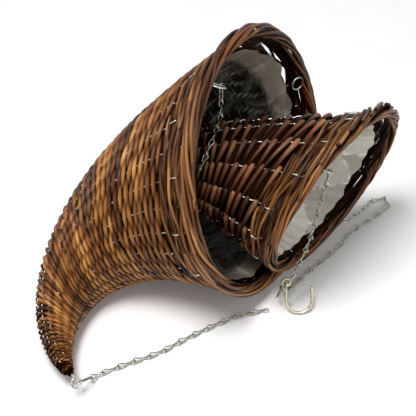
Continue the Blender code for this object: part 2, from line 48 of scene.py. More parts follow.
# Wires, as in the model's source
RING_WIRE = 0.0022
LINK_WIRE = 0.0019
LINK_PITCH = 0.0208
LINK_LOOP = 0.0078
STAKE_WIRE = 0.0022
HOOK_WIRE = 0.0038
HOOK_WIDTH = 0.0370
HOOK_LEG = 0.0180
HOOK_EYE = 0.0046
HOOK_LEAN = 45.0
HOOK_FOOT = (0.1007, -0.0696, 0.0022)
ROUTE_SHIFT = Vector((0.00058, 0.0, 0.0))
EYE_LOOP = 0.0042
EYE_SHANK = 0.0100
CLIP_LENGTH = 0.0250
CLIP_LOOP = 0.0078
RING_BITE = 0.0034
TAIL_RING_RADIUS = 0.0062
GATHER_RADIUS = 0.0105
GATHER_WAY = (-0.5, -0.6, -0.6)

# How these round wires lie in each other
HANG_ROOM = 0.0016
EYE_ROOM = 0.0026
CLIP_GAP = 0.0004
GATHER_GAP = 0.0006

# How finely the wires are drawn, and how far their bends go round
WIRE_SIDES = 10
ROUTE_STEPS = 24
PATH_STEPS = 6
LINK_SIDES = 7
LINK_POINTS = 40
LINK_ARC_POINTS = 11
LINK_ARC = 1.12 * pi
LINK_END_SHARE = 0.55
WAIST_SIDE_SHARE = 0.95
WAIST_BACK_SHARE = 0.4
CLIP_ARC_POINTS = 12
EYE_POINTS = 20
EYE_TURN = 0.9 * tau
EYE_NECK_SHARE = 0.3
RING_POINTS = 32
GATHER_POINTS = 40
HOOK_SIDES = 14
HOOK_POINTS = 110
HOOK_BEND_POINTS = 25
HOOK_EYE_POINTS = 22
HOOK_EYE_TURN = 0.92 * tau
HOOK_TIP_SHARES = (0.45, 0.85)

# Routes of the chains, repeated from the model's source
LARGE_TAIL_ROUTE = [
    (-0.1538, -0.1706, 0.0040), (-0.1368, -0.1621, 0.0040), (-0.1092, -0.1494, 0.0040),
    (-0.0762, -0.1346, 0.0040), (-0.0428, -0.1118, 0.0040), (-0.0074, -0.0907, 0.0040),
    (0.0240, -0.0740, 0.0040), (0.0430, -0.0700, 0.0040), (0.0600, -0.0650, 0.0042),
]
LARGE_NEAR_ROUTE = [
    (-0.0008, 0.0259, 0.2560), (-0.0098, 0.0262, 0.2180), (-0.0160, 0.0125, 0.2100),
    (-0.0212, 0.0022, 0.2020), (-0.0262, -0.0052, 0.1922),
]
SMALL_NEAR_ROUTE = [
    (0.1192, -0.0471, 0.1820), (0.1122, -0.0481, 0.1320), (0.1032, -0.0521, 0.0960),
    (0.0920, -0.0590, 0.0660), (0.0800, -0.0680, 0.0470),
]
SMALL_FAR_ROUTE = [
    (0.1962, 0.1109, 0.0060), (0.2082, 0.1279, 0.0040), (0.2222, 0.1399, 0.0040),
    (0.2382, 0.1359, 0.0040), (0.2332, 0.1189, 0.0040), (0.2082, 0.0979, 0.0040),
    (0.1772, 0.0699, 0.0040), (0.1592, 0.0439, 0.0040), (0.1362, 0.0199, 0.0040),
    (0.1182, 0.0019, 0.0040), (0.1022, -0.0161, 0.0040), (0.0902, -0.0301, 0.0060),
]

# The horns, as in the model's source
TAPER_POWER = 1.81
SAG_CENTRE_SHARE = 0.66
SAG_WIDTH_SHARE = 0.16
SPINE_STEPS = 200
DEPTH_STEPS = 2000
STAKES = 14

# The baskets: the model's sizes, then the rods, the film's folded edge and painted shade, and the way and
# strength of the painted light on the rods; a rim ring has its name, degrees round the mouth, side of the
# border, radius, the way it hangs and its axis
LARGE = SimpleNamespace(
    name="large", mouth_radius=0.1730, spine_length=0.4535, tip_radius=0.0062,
    mouth_lean=17.6, tail_bend=149.4, spine_power=1.66, section_power=3.31,
    taper_share=0.76, collar_depth=0.0340, border_radius=0.0095, sag=0.0060,
    tail_ring_way=(-0.1, -0.75, -0.6), centre=(0.05262, 0.03962, 0.16640),
    turn=(-25.97, -16.72, 18.59),
    lines=28, rod=0.0034, tail_rod=0.0017, pitch=0.0102, headed=False, inner_rod=0.0029,
    collar_rods=(26, 26, 26), border_rods=12, film_fold_and_painted_shade=(0.07, 0.04), painted_light_way=150.0, gold_and_painted_light=0.2, ends=(),
    rim_rings=[
        ("near", 88.0, -1.0, 0.0110, (0.95, -0.05, -0.3), (0.1, 0.5, 0.86)),
        ("far", -12.0, -1.0, 0.0090, (-0.6, -0.5, -0.6), (-0.5, 0.85, 0.0)),
    ])
SMALL = SimpleNamespace(
    name="small", mouth_radius=0.12970, spine_length=0.29409, tip_radius=0.0048,
    mouth_lean=28.4, tail_bend=131.0, spine_power=3.5, section_power=2.77,
    taper_share=1.087, collar_depth=0.0290, border_radius=0.0082, sag=0.0,
    tail_ring_way=(0.1, 0.2, -1.0), centre=(0.14952, 0.02152, 0.12650),
    turn=(-40.29, 11.61, 0.76),
    lines=14, rod=0.0045, tail_rod=0.0018, pitch=0.0130, headed=True, inner_rod=0.0033,
    collar_rods=(19, 20, 20), border_rods=10, film_fold_and_painted_shade=(0.36, 0.24), painted_light_way=120.0, gold_and_painted_light=0.1,
    ends=(40.0, 100.0),
    rim_rings=[
        ("near", 122.0, -1.0, 0.0085, (0.95, -0.1, -0.35), (0.1, 0.5, 0.86)),
        ("far", 295.0, 1.0, 0.0085, (0.95, -0.1, -0.1), (0.1, 0.6, 0.8)),
    ])

# Camera, at the photograph's angle
CAMERA_PLACE = (-0.01566, -1.07867, 1.20208)
CAMERA_TILT = 45.0
CAMERA_LENS = 105.09
CAMERA_SENSOR = 36.0
CAMERA_SIGHT = 20.0


def add_camera():
    data = bpy.data.cameras.new("photo_camera")
    data.lens = CAMERA_LENS
    data.sensor_width = CAMERA_SENSOR
    data.clip_end = CAMERA_SIGHT
    camera = bpy.data.objects.new("photo_camera", data)
    camera.location = CAMERA_PLACE
    camera.rotation_euler = (radians(CAMERA_TILT), 0.0, 0.0)
    scene = bpy.context.scene
    scene.collection.objects.link(camera)
    scene.camera = camera
    scene.view_settings.view_transform = "Standard"


add_camera()


# Meshes made of tubes
PLAIN_TONE = (0.5, 0.5, 0.5)
UPRIGHT_LIMIT = 0.1
FLOOR_PRESS_SHARE = 0.98
PAINTED_FLANK_POWER = 0.7


class Net:
    """Points and faces of one piece, with what its material reads: place on the rod and tone."""

    def __init__(self):
        self.points = []
        self.faces = []
        self.places = []
        self.tones = []
        self.count = 0

    def grid(self, points, places, tones, closed, caps=True):
        """Add rings of points, an array (rings, sides, 3), joined round and along."""
        rings, sides = points.shape[:2]
        index = self.count + np.arange(rings * sides).reshape(rings, sides)
        rows = np.vstack([index, index[:1]]) if closed else index
        low, high = rows[:-1], rows[1:]
        quads = np.stack([low, np.roll(low, -1, 1), np.roll(high, -1, 1), high], -1)
        self.faces.extend(quads.reshape(-1, 4).tolist())
        if caps and not closed:
            self.faces.append(index[0][::-1].tolist())
            self.faces.append(index[-1].tolist())
        self.points.append(points.reshape(-1, 3))
        self.places.append(places.reshape(-1, 3))
        self.tones.append(np.broadcast_to(tones, points.shape).reshape(-1, 3))
        self.count += rings * sides

    def tube(self, centres, radii, sides, closed=False, outs=None, tone=PLAIN_TONE, start=0.0):
        """A tube along centres; outs fixes its frame, or else the frame is carried along."""
        centres = np.asarray(centres, float)
        radii = np.broadcast_to(radii, len(centres))
        if closed:
            ahead = unit(np.roll(centres, -1, 0) - np.roll(centres, 1, 0))
        else:
            ahead = unit(np.gradient(centres, axis=0))
        if outs is None:
            outs = carried(ahead)
        outs = unit(outs - ahead * np.sum(outs * ahead, 1, keepdims=True))
        side = np.cross(ahead, outs)
        turn = tau * np.arange(sides) / sides
        ring = np.cos(turn)[None, :, None] * outs[:, None] + np.sin(turn)[None, :, None] * side[:, None]
        points = centres[:, None] + radii[:, None, None] * ring
        steps = np.linalg.norm(np.diff(centres, axis=0), axis=1)
        along = start + np.concatenate([[0.0], np.cumsum(steps)])
        places = np.empty(points.shape)
        places[..., 0] = along[:, None]
        places[..., 1] = radii[:, None] * np.cos(turn)
        places[..., 2] = radii[:, None] * np.sin(turn) + start
        self.grid(points, places, tone, closed)

    def rod(self, centres, radii, rest, sides, painted_flank_shade, outs, tones, start, closed=False):
        """A rod, pressed on the floor where it would go through, with painted shade on its flanks, darker
        than its front.
        """
        centres[:, 2] = np.maximum(centres[:, 2], rest * FLOOR_PRESS_SHARE)
        facing = np.clip(np.cos(tau * np.arange(sides) / sides), 0.0, 1.0) ** PAINTED_FLANK_POWER
        tones = np.repeat(tones[:, None, :], sides, 1)
        tones[..., 1] *= between(painted_flank_shade, 1.0, facing)
        self.tube(centres, radii, sides, closed, outs, tones, start)

    def piece(self, name, look, body, nodes):
        """Make the mesh, riding on its body and standing for its nodes."""
        mesh = bpy.data.meshes.new(name)
        mesh.from_pydata(np.concatenate(self.points).tolist(), [], self.faces)
        for key, values in (("place", self.places), ("tone", self.tones)):
            layer = mesh.attributes.new(key, "FLOAT_VECTOR", "POINT")
            layer.data.foreach_set("vector", np.concatenate(values).astype(np.float32).ravel())
        mesh.shade_smooth()
        mesh.materials.append(LOOKS[look])
        made = bpy.data.objects.new(name, mesh)
        bpy.context.scene.collection.objects.link(made)
        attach(made, body)
        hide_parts(*nodes)
        return made

    def basket_piece(self, basket, what, look, stands_for):
        name = basket.name + "_"
        return self.piece(name + what, look, name + "basket", [name + part for part in stands_for])


def unit(vectors):
    return vectors / np.linalg.norm(vectors, axis=1, keepdims=True)


def carried(ahead):
    """A side direction carried along a curve so that it doesn't twist."""
    first = np.cross(ahead[0], (0.0, 0.0, 1.0))
    if np.linalg.norm(first) < UPRIGHT_LIMIT:
        first = np.cross(ahead[0], (0.0, 1.0, 0.0))
    sides = [first / np.linalg.norm(first)]
    for way in ahead[1:]:
        side = sides[-1] - way * np.dot(sides[-1], way)
        sides.append(side / np.linalg.norm(side))
    return np.array(sides)


def between(first, second, share):
    return first + share * (second - first)


# The horn

def plan(basket):
    """Work out a horn's axis from tail to mouth, and where its rim and its woven body end."""
    points = [np.zeros(3)]
    step = basket.spine_length / SPINE_STEPS
    for index in range(SPINE_STEPS):
        back = (index + 0.5) / SPINE_STEPS
        bent = between(basket.mouth_lean, basket.tail_bend, back ** basket.spine_power)
        heading = radians(bent)
        points.append(points[-1] - step * np.array([cos(heading), sin(heading), 0.0]))
    basket.spine = np.array(points[::-1])
    azimuth, tilt, roll = (radians(angle) for angle in basket.turn)
    turned = Matrix.Rotation(azimuth, 3, "Z") @ Matrix.Rotation(tilt, 3, "Y")
    basket.rotation = np.array(turned @ Matrix.Rotation(roll, 3, "X"))
    basket.origin = np.array(basket.centre)
    rim_depth = 2 * basket.border_radius
    basket.rim_share = share_at_depth(basket, rim_depth)
    basket.body_share = share_at_depth(basket, rim_depth + basket.collar_depth)


def share_at_depth(basket, depth):
    """How far along the axis, in its outer half, a point lies this deep behind the mouth."""
    shares = np.linspace(0.5, 1.0, DEPTH_STEPS)
    grid = np.linspace(0.0, 1.0, SPINE_STEPS + 1)
    depths = -np.interp(shares, grid, basket.spine[:, 0])
    return float(shares[np.argmin(np.abs(depths - depth))])


def radius_at(basket, share):
    linear = basket.taper_share
    taper = linear * share + (1.0 - linear) * share ** TAPER_POWER
    return basket.tip_radius + (basket.mouth_radius - basket.tip_radius) * taper


def horn(basket, share, inset, angle):
    """Points on the horn's sections, this far inside the outer surface, and the way out there."""
    share, inset, angle = np.broadcast_arrays(share, inset, angle)
    grid = np.linspace(0.0, 1.0, SPINE_STEPS + 1)
    centre = np.stack([np.interp(share, grid, basket.spine[:, k]) for k in range(3)], -1)
    facing = np.radians(basket.tail_bend * (1.0 - share) ** basket.section_power)
    across = np.stack([-np.sin(facing), np.cos(facing), 0.0 * facing], -1)
    radius = radius_at(basket, share)
    height = np.sin(angle)
    away = (share - SAG_CENTRE_SHARE) / SAG_WIDTH_SHARE
    sagged = height * (1.0 + basket.sag / radius * np.exp(-away * away))
    lifted = np.where(height < 0.0, sagged, height)
    out = np.cos(angle)[..., None] * across + lifted[..., None] * np.array([0.0, 0.0, 1.0])
    points = centre + (radius - inset)[..., None] * out
    return basket.origin + points @ basket.rotation.T, out @ basket.rotation.T


def mouth_point(basket, depth, reach, angle):
    """Points round the mouth, this deep behind its plane and this far from its middle."""
    depth, reach, angle = np.broadcast_arrays(depth, reach, angle)
    local = np.stack([-depth, reach * np.cos(angle), reach * np.sin(angle)], -1)
    out = np.stack([0.0 * angle, np.cos(angle), np.sin(angle)], -1)
    return basket.origin + local @ basket.rotation.T, out @ basket.rotation.T


# Materials: a noise has its scale, its stretch and its detail, a bump its strength and its distance
EVENLY = (1.0, 1.0, 1.0)
NOISE_ROUGHNESS = 0.55
MIX_FACTOR, MIX_FIRST, MIX_SECOND, MIX_RESULT = 0, 6, 7, 2
WHOLE_RANGE = (0.0, 1.0)
STREAKS = (900.0, (0.05, 1.0, 1.0), 4.0)
STREAK_WEIGHT = 0.42
PATCHES = (60.0, (0.6, 1.0, 1.0), 3.0)
PATCH_WEIGHT = 0.3
TONE_WEIGHT = 0.7
WILLOW_DROP = 0.26
WILLOW_PLACES = (0.1, 0.5, 0.95)
# Painted shade: the colours that the rods' lit tone multiplies the willow by
SHADE_PLACES = (0.0, 0.5, 1.0)
SHADE_COLOURS = (0.01, (0.3, 0.26, 0.24), 1.0)
RED_AND_PAINTED_SHADE_COLOURS = (1.0, (0.82, 0.56, 0.5))
ROUGH_PLACES = (0.3, 0.7)
WILLOW_ROUGH = (0.3, 0.5)
WILLOW_SHEEN = 0.5
WILLOW_BUMP = (0.7, 0.0011)
METAL_SPOTS = (420.0, EVENLY, 4.0)
METAL_PLACES = (0.32, 0.62)
METAL_BUMP = (0.2, 0.0003)
FILM_TURN = (0.4, 0.5, 0.7)
FILM_STRETCH = (1.0, 0.45, 1.0)
CREASE_PLACES = (0.0, 0.035, 0.14)
CREASE_LEVELS = (1.0, 0.45, 0.0)
CLOUDS = (3.0, EVENLY, 4.0)
CLOUD_PLACES = (0.38, 0.55)
CLOUD_LEVELS = (0.1, 1.0)
LOW_CREASE_WEIGHT = 0.25
FACET_WEIGHT = 0.8
FILM_PLACES = (0.3, 0.7)
FILM_FINISH = {"Alpha": 0.98, "Roughness": 0.18, "Specular IOR Level": 0.7}
FILM_BUMP = (0.2, 0.0008)

# Colours: dark, middle and light
WILLOWS = {
    "large_willow": ((0.024, 0.008, 0.003), (0.41, 0.155, 0.036), (0.92, 0.45, 0.125)),
    "small_willow": ((0.013, 0.005, 0.003), (0.17, 0.060, 0.023), (0.62, 0.28, 0.12)),
    "collar_willow": ((0.010, 0.004, 0.002), (0.185, 0.069, 0.018), (0.74, 0.34, 0.098)),
}
# Dark and light, roughness of both, and how metallic
METALS = {
    "galvanised_wire": ((0.20, 0.19, 0.16), (0.66, 0.65, 0.6), (0.25, 0.45), 0.9),
    "galvanised_chain": ((0.09, 0.09, 0.07), (0.48, 0.48, 0.40), (0.18, 0.36), 0.95),
    "plated_hook": ((0.34, 0.31, 0.2), (0.66, 0.62, 0.46), (0.2, 0.35), 0.95),
}
# Deep film in painted shade and its painted glints, film near the edge and its painted glints, and how fine
# the facets are
FILMS = {
    "large_film": ((0.020, 0.018, 0.012), (0.80, 0.74, 0.60), (0.20, 0.17, 0.125), (0.62, 0.55, 0.44), 16.0),
    "small_film": ((0.16, 0.145, 0.10), (0.60, 0.56, 0.44), (0.24, 0.215, 0.165), (0.95, 0.90, 0.79), 20.0),
}


class Tree:
    """A node tree, with a short way to add each kind of node."""

    def __init__(self, tree):
        self.nodes = tree.nodes
        self.links = tree.links

    def put(self, value, socket):
        """Link an output to a socket, or set the socket to a number."""
        if hasattr(value, "is_output"):
            self.links.new(value, socket)
        else:
            socket.default_value = value

    def add(self, kind, output, inputs=None, **settings):
        """Add a node with these settings and inputs, and give one of its outputs."""
        node = self.nodes.new("ShaderNode" + kind)
        for name, value in settings.items():
            setattr(node, name, value)
        for name, value in (inputs or {}).items():
            self.put(value, node.inputs[name])
        return node.outputs[output]

    def carried(self, name):
        """A vector that each point of the mesh carries."""
        return self.add("Attribute", "Vector", attribute_name=name)

    def place(self):
        return self.add("TexCoord", "Object")

    def split(self, vector):
        return [self.add("SeparateXYZ", k, {0: vector}) for k in range(3)]

    def mapped(self, vector, stretch, turn=(0.0, 0.0, 0.0)):
        return self.add("Mapping", 0, {"Vector": vector, "Rotation": turn, "Scale": stretch})

    def noise(self, vector, scale, stretch, detail):
        inputs = {"Scale": scale, "Detail": detail, "Roughness": NOISE_ROUGHNESS}
        return self.add("TexNoise", "Fac", {"Vector": self.mapped(vector, stretch), **inputs})

    def cells(self, vector, feature, output, scale):
        return self.add("TexVoronoi", output, {"Vector": vector, "Scale": scale}, feature=feature)

    def ramp(self, value, places, colours):
        """Colours, or greys given as one number, at places between 0 and 1."""
        node = self.nodes.new("ShaderNodeValToRGB")
        elements = node.color_ramp.elements
        while len(elements) < len(places):
            elements.new(0.5)
        for element, place, colour in zip(elements, places, colours):
            element.position = place
            element.color = (*np.broadcast_to(colour, 3), 1.0)
        self.put(value, node.inputs["Fac"])
        return node.outputs["Color"]

    def result(self, operation, first, second):
        return self.add("Math", 0, {0: first, 1: second}, operation=operation)

    def times(self, first, second):
        return self.result("MULTIPLY", first, second)

    def mix(self, kind, factor, first, second):
        inputs = {MIX_FACTOR: factor, MIX_FIRST: first, MIX_SECOND: second}
        return self.add("Mix", MIX_RESULT, inputs, data_type="RGBA", blend_type=kind)

    def bump(self, shader, height, strength, distance):
        inputs = {"Height": height, "Strength": strength, "Distance": distance}
        self.put(self.add("Bump", 0, inputs), shader["Normal"])


def new_material(name):
    """A material, its tree and the inputs of its shader."""
    made = bpy.data.materials.new(name)
    made.use_nodes = True
    return made, Tree(made.node_tree), made.node_tree.nodes["Principled BSDF"].inputs


def willow_look(name, dark, middle, light):
    """Steamed willow: long streaks, bark patches, a soft waxy sheen, and painted light and shade from the
    rods' tones.
    """
    made, tree, shader = new_material(name)
    place = tree.carried("place")
    gold_and_painted_light, lit, red_and_painted_shade = tree.split(tree.carried("tone"))
    streaks = tree.noise(place, *STREAKS)
    patches = tree.times(tree.noise(place, *PATCHES), PATCH_WEIGHT)
    grain = tree.result("ADD", tree.times(streaks, STREAK_WEIGHT), patches)
    value = tree.result("ADD", grain, tree.times(gold_and_painted_light, TONE_WEIGHT))
    value = tree.result("SUBTRACT", value, WILLOW_DROP)
    colour = tree.ramp(value, WILLOW_PLACES, (dark, middle, light))
    # Painted shade: the lit tone darkens the colour.
    colour = tree.mix("MULTIPLY", 1.0, colour, tree.ramp(lit, SHADE_PLACES, SHADE_COLOURS))
    # Redder tones: the rods' own red, and painted shade away from the light.
    colour = tree.mix("MULTIPLY", 1.0, colour, tree.ramp(red_and_painted_shade, WHOLE_RANGE, RED_AND_PAINTED_SHADE_COLOURS))
    tree.put(colour, shader["Base Color"])
    tree.put(tree.ramp(streaks, ROUGH_PLACES, WILLOW_ROUGH), shader["Roughness"])
    # The painted shade also dulls the sheen.
    tree.put(tree.times(tree.times(lit, lit), WILLOW_SHEEN), shader["Specular IOR Level"])
    tree.bump(shader, streaks, *WILLOW_BUMP)
    return made


def metal_look(name, dark, light, rough, metallic):
    """Wire with duller spots."""
    made, tree, shader = new_material(name)
    spots = tree.noise(tree.place(), *METAL_SPOTS)
    tree.put(tree.ramp(spots, METAL_PLACES, (dark, light)), shader["Base Color"])
    tree.put(tree.ramp(spots, ROUGH_PLACES, rough), shader["Roughness"])
    tree.put(metallic, shader["Metallic"])
    tree.bump(shader, spots, *METAL_BUMP)
    return made


def film_look(name, low, low_glint, high, high_glint, facets):
    """Thin crinkled film: dark, in painted shade, with painted glints deep in the basket; paler near its
    edge, with painted highlights on its creases and painted light and shade on its facets.
    """
    made, tree, shader = new_material(name)
    glint, height, _ = tree.split(tree.carried("tone"))
    bent = tree.mapped(tree.place(), FILM_STRETCH, FILM_TURN)
    lines = tree.cells(bent, "DISTANCE_TO_EDGE", "Distance", facets)
    # Painted light and shade: each facet of the crinkled film gets its own brightness.
    shade = tree.split(tree.cells(bent, "F1", "Color", facets))[0]
    creases = tree.ramp(lines, CREASE_PLACES, CREASE_LEVELS)
    some = tree.ramp(tree.noise(tree.carried("place"), *CLOUDS), CLOUD_PLACES, CLOUD_LEVELS)
    # Painted highlights along the creases, in patches.
    lit = tree.times(creases, some)
    deep = tree.result("MAXIMUM", tree.times(lit, LOW_CREASE_WEIGHT), glint)
    near = tree.result("MAXIMUM", lit, tree.times(shade, FACET_WEIGHT))
    deep = tree.mix("MIX", deep, (*low, 1.0), (*low_glint, 1.0))
    near = tree.mix("MIX", near, (*high, 1.0), (*high_glint, 1.0))
    edge = tree.ramp(height, FILM_PLACES, WHOLE_RANGE)
    tree.put(tree.mix("MIX", edge, deep, near), shader["Base Color"])
    for socket, value in FILM_FINISH.items():
        tree.put(value, shader[socket])
    tree.bump(shader, creases, *FILM_BUMP)
    return made


LOOKS = {name: willow_look(name, *values) for name, values in WILLOWS.items()}
LOOKS.update({name: metal_look(name, *values) for name, values in METALS.items()})
LOOKS.update({name: film_look(name, *values) for name, values in FILMS.items()})


# Curves

def smooth_points(path, steps, count=None, pitch=None):
    """Even points on a smooth curve through a path, as many as asked or about one pitch apart."""
    path = np.array([tuple(point) for point in path])
    padded = np.vstack([2 * path[0] - path[1], path, 2 * path[-1] - path[-2]])
    fine = []
    for index in range(len(path) - 1):
        a, b, c, d = padded[index:index + 4]
        for t in np.linspace(0.0, 1.0, steps, endpoint=False):
            fine.append(0.5 * (2 * b + (c - a) * t + (2 * a - 5 * b + 4 * c - d) * t * t
                               + (3 * b - a - 3 * c + d) * t ** 3))
    fine = np.array([*fine, path[-1]])
    lengths = np.concatenate([[0.0], np.cumsum(np.linalg.norm(np.diff(fine, axis=0), axis=1))])
    goals = np.linspace(0.0, lengths[-1], count or 1 + max(1, round(lengths[-1] / pitch)))
    return np.stack([np.interp(goals, lengths, fine[:, k]) for k in range(3)], -1)


def circle(centre, first, second, radius, count, start=0.0, turn=tau):
    """Points round a circle, or along an arc of it with both ends."""
    whole = abs(turn) >= tau
    steps = count if whole else count - 1
    return [centre + radius * (cos(start + turn * index / steps) * first
                               + sin(start + turn * index / steps) * second)
            for index in range(count)]


def square_to(way, ahead):
    """The part of a way that is square to ahead, made one long."""
    return (way - ahead * way.dot(ahead)).normalized()


# Chains, rings and the hook

def link_sides(points, side, last_side):
    """Each link's side, carried along the chain and turned little by little to suit the last."""
    aheads = [(end - start).normalized() for start, end in zip(points, points[1:])]
    sides = []
    for ahead in aheads:
        side = square_to(side, ahead)
        sides.append(side)
    if last_side is None:
        return sides
    goal = square_to(last_side, aheads[-1])
    twist = atan2(aheads[-1].dot(sides[-1].cross(goal)), sides[-1].dot(goal))
    twist = remainder(twist, pi)
    return [Matrix.Rotation(twist * index / (len(sides) - 1), 3, ahead) @ side
            for index, (ahead, side) in enumerate(zip(aheads, sides))]


def jack_link(net, start, end, side):
    """One link: a wire bent into two loops square to each other, each closed round the waist."""
    forward = (end - start).normalized()
    side = square_to(side, forward)
    other = forward.cross(side)
    middle = (start + end) / 2
    reach = (end - start).length / 2 + LINK_WIRE * LINK_END_SHARE
    loop = (LINK_LOOP - LINK_WIRE) / 2
    low_middle = middle - (reach - loop) * forward
    high_middle = middle + (reach - loop) * forward
    low = circle(low_middle, side, forward, loop, LINK_ARC_POINTS, pi, LINK_ARC)
    high = circle(high_middle, other, forward, loop, LINK_ARC_POINTS, LINK_ARC, -LINK_ARC)
    back = WAIST_BACK_SHARE * LINK_WIRE * forward
    tail_in = middle + LINK_WIRE * WAIST_SIDE_SHARE * side - back
    tail_out = middle + LINK_WIRE * WAIST_SIDE_SHARE * other + back
    path = [tail_in, *low[::-1], middle, *high[::-1], tail_out]
    net.tube(smooth_points(path, PATH_STEPS, LINK_POINTS), LINK_WIRE / 2, LINK_SIDES)


def jack_chain(name, route, side, last_side, body):
    points = [Vector(point) for point in smooth_points(route, ROUTE_STEPS, pitch=LINK_PITCH)]
    net = Net()
    for start, end, way in zip(points, points[1:], link_sides(points, side, last_side)):
        jack_link(net, start, end, way)
    made = net.piece(name + "_links", "galvanised_chain", body, (name,))


def wire_loop(name, points, wire, look, body, closed=True):
    net = Net()
    net.tube([tuple(point) for point in points], wire / 2, WIRE_SIDES, closed)
    net.piece(name + "_wire", look, body, (name,))


def ring_piece(name, centre, axis, radius, count=RING_POINTS, look="galvanised_wire", body=None):
    """A ring; gives what a chain needs to hang on it."""
    first = axis.orthogonal().normalized()
    points = circle(centre, first, axis.cross(first), radius, count)
    wire_loop(name, points, RING_WIRE, look, body or name + "_body")
    return centre, axis, radius


def on_ring(ring, toward):
    """Where a link hangs on a ring toward a point: place, way in the ring's plane, side of the link."""
    centre, axis, radius = ring
    flat = square_to(toward - centre, axis)
    place = centre + radius * flat
    along = axis.cross(flat).normalized()
    return place, square_to(toward - place, along), along


def clip(name, ring, toward, body):
    """A long closed clip round a ring's wire; gives where the first link starts and its side."""
    place, way, along = on_ring(ring, toward)
    across = along.cross(way).normalized()
    loop = (CLIP_LOOP - LINK_WIRE) / 2
    near = place - (RING_WIRE / 2 + LINK_WIRE / 2 + CLIP_GAP) * way
    far = near + CLIP_LENGTH * way
    points = circle(near + loop * way, across, way, loop, CLIP_ARC_POINTS, pi, pi)
    points += circle(far - loop * way, across, way, loop, CLIP_ARC_POINTS, 0.0, pi)
    wire_loop(name, points, LINK_WIRE, "galvanised_chain", body)
    return far - HANG_ROOM * way, along


def tail_eye(basket):
    """The eye at the tip of the tail, and the ring that hangs in it."""
    tip, before = basket.spine[0], basket.spine[1]
    turn = Matrix(basket.rotation)
    out = Vector(tip - before).normalized()
    across = (turn.inverted() @ Vector((0.0, 0.0, 1.0))).cross(out).normalized()
    other = out.cross(across)
    tip = Vector(tip)
    loop_centre = tip + (RING_WIRE + EYE_LOOP) * out
    route = [tip - EYE_SHANK * out, tip - EYE_NECK_SHARE * EYE_SHANK * out,
             *circle(loop_centre, -out, other, EYE_LOOP, EYE_POINTS, 0.0, EYE_TURN)]
    origin = Vector(basket.origin)
    name = basket.name
    points = [origin + turn @ point for point in route]
    wire_loop(name + "_tail_eye", points, RING_WIRE, "galvanised_wire", name + "_basket", False)
    far = origin + turn @ (loop_centre + EYE_LOOP * out)
    out = (turn @ out).normalized()
    wire_way = (turn @ across).normalized()
    way = square_to(Vector(basket.tail_ring_way), wire_way)
    axis = wire_way.cross(way).normalized()
    centre = far - EYE_ROOM * out + TAIL_RING_RADIUS * way
    return ring_piece(name + "_tail_ring", centre, axis, TAIL_RING_RADIUS)


def rim_ring(basket, spot):
    which, degrees, side, radius, way, axis = spot
    reach = basket.mouth_radius + (side - 1.0) * basket.border_radius
    surface, _ = mouth_point(basket, basket.border_radius, reach, radians(degrees))
    way = Vector(way).normalized()
    axis = square_to(Vector(axis), way)
    centre = Vector(surface) + (radius - RING_BITE) * way
    return ring_piece(f"{basket.name}_{which}_ring", centre, axis, radius)


def hook_and_ring():
    """The hook, from its tip round the bend to its eye, and the ring that gathers the chains."""
    lean = radians(HOOK_LEAN)
    up = Vector((0.0, cos(lean), sin(lean)))
    right = Vector((1.0, 0.0, 0.0))
    facing = right.cross(up).normalized()
    bend = (HOOK_WIDTH - HOOK_WIRE) / 2
    middle = Vector(HOOK_FOOT) + ROUTE_SHIFT + bend * up
    left_top = middle - bend * right + HOOK_LEG * up
    route = [middle + bend * right + HOOK_LEG * up, middle + bend * right + HOOK_LEG / 2 * up]
    route += circle(middle, right, up, bend, HOOK_BEND_POINTS, tau, -pi)
    eye_centre = left_top + HOOK_EYE * up
    route += [left_top - HOOK_LEG / 2 * up]
    route += circle(eye_centre, -up, right, HOOK_EYE, HOOK_EYE_POINTS, 0.0, HOOK_EYE_TURN)
    radii = np.full(HOOK_POINTS, HOOK_WIRE / 2)
    radii[:len(HOOK_TIP_SHARES)] *= HOOK_TIP_SHARES
    net = Net()
    net.tube(smooth_points(route, PATH_STEPS, HOOK_POINTS), radii, HOOK_SIDES)
    net.piece("hook_wire", "plated_hook", "hanging_hook", ("hook",))
    way = square_to(Vector(GATHER_WAY), facing)
    axis = facing.cross(way).normalized()
    slack = HOOK_EYE - HOOK_WIRE / 2 - RING_WIRE / 2 - GATHER_GAP
    centre = eye_centre + (GATHER_RADIUS + slack) * way
    return ring_piece("gather_ring", centre, axis, GATHER_RADIUS, GATHER_POINTS,
                      "galvanised_chain", "small_basket")


def chains():
    """All rings, clips and chains, and the hook."""
    rings = {}
    for basket in (LARGE, SMALL):
        rings[basket.name, "tail"] = tail_eye(basket)
        for spot in basket.rim_rings:
            rings[basket.name, spot[0]] = rim_ring(basket, spot)
    gather = hook_and_ring()
    plans = [
        ("large", "tail", LARGE_TAIL_ROUTE, "bare", "loose"),
        ("large", "near", LARGE_NEAR_ROUTE, "bare", "hanging"),
        ("small", "near", SMALL_NEAR_ROUTE, "object", "hanging"),
        ("small", "far", SMALL_FAR_ROUTE, "object", "loose"),
    ]
    for owner, which, route, far_end, lay in plans:
        ring = rings[owner, which]
        route = [Vector(point) + ROUTE_SHIFT for point in route]
        body = owner + "_basket"
        if far_end == "bare":
            start, side = clip(f"{owner}_{which}_clip", ring, route[0], body)
            points = [start, *route]
            last_side = None
        else:
            place, way, along = on_ring(ring, route[0])
            side = along.cross(way).normalized()
            last_place, last_way, last_side = on_ring(gather, route[-1])
            points = [place - HANG_ROOM * way, *route, last_place - HANG_ROOM * last_way]
        jack_chain(f"{owner}_{which}_chain", points, side, last_side, body)


# Tones of the rods: how golden, how lit and how red. The lit tone is painted shade; gold and red also carry
# painted light and shade.
GOLD_RANGE = (0.05, 0.95)
ROW_TONES = (0.1, 0.9)
LEAST_LIT = 0.72
STROKE_LEAST_LIT = 0.7
PAINTED_SHADE_RED_FALL = 2.5
ROD_SPANS = (3, 8)

